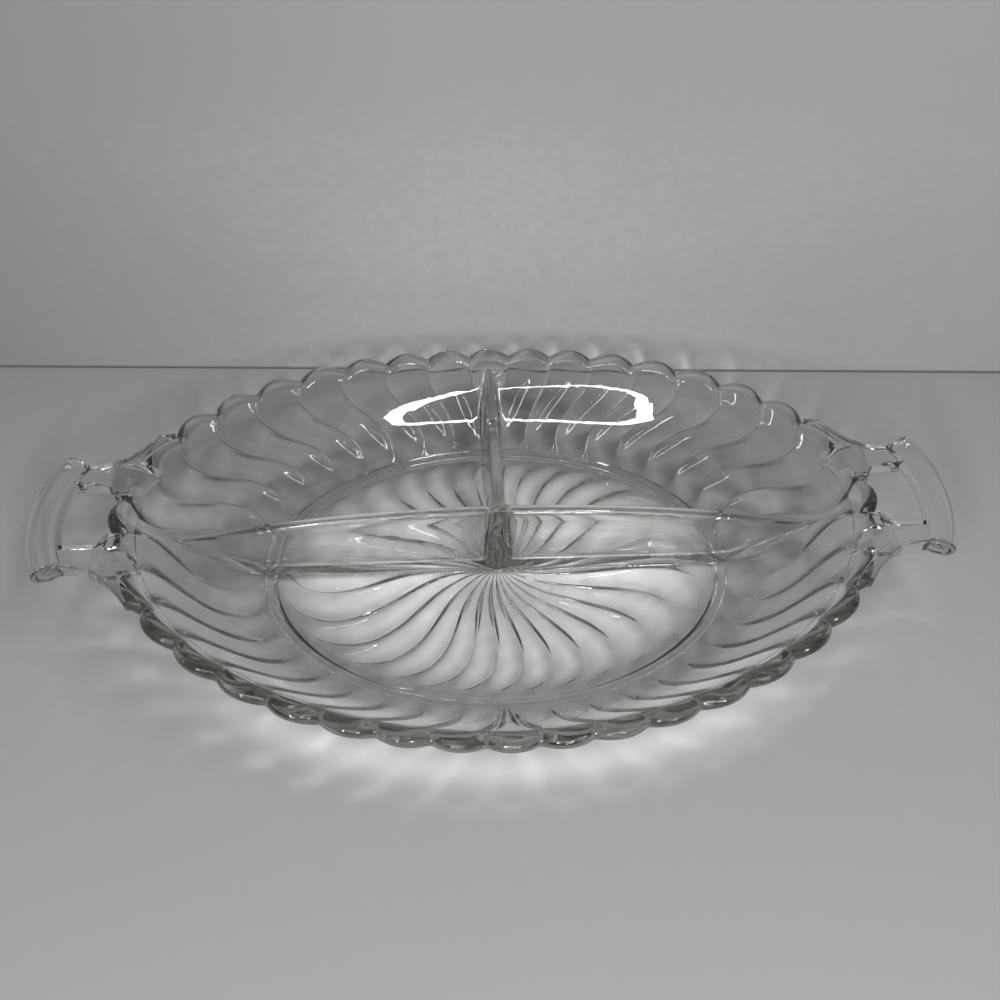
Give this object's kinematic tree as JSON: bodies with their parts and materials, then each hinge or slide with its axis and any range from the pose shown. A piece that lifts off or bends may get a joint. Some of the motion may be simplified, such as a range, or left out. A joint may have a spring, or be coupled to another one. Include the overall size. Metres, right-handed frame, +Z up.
{
  "type": "relish tray",
  "caption": "Oval pressed-glass relish tray with a scalloped rim, swirled flutes, dividers for relishes and a handle at each end.",
  "frame": {"origin": "centre of the foot ring's underside, on the table", "axes": "+X from the left handle to the right handle, +Y towards the cross divider, +Z up"},
  "size_m": [0.266, 0.1478, 0.0384],
  "materials": {
    "clear_glass": "clear, fire-polished"
  },
  "bodies": {
    "root": {"floor_plate": "clear_glass", "swirl_petals": "clear_glass", "foot_ring": "clear_glass", "side_wall": "clear_glass", "scalloped_rim": "clear_glass", "long_divider": "clear_glass", "cross_divider": "clear_glass", "right_grip": "clear_glass", "right_front_arm": "clear_glass", "right_rear_arm": "clear_glass", "left_grip": "clear_glass", "left_front_arm": "clear_glass", "left_rear_arm": "clear_glass"}
  },
  "joints": []
}
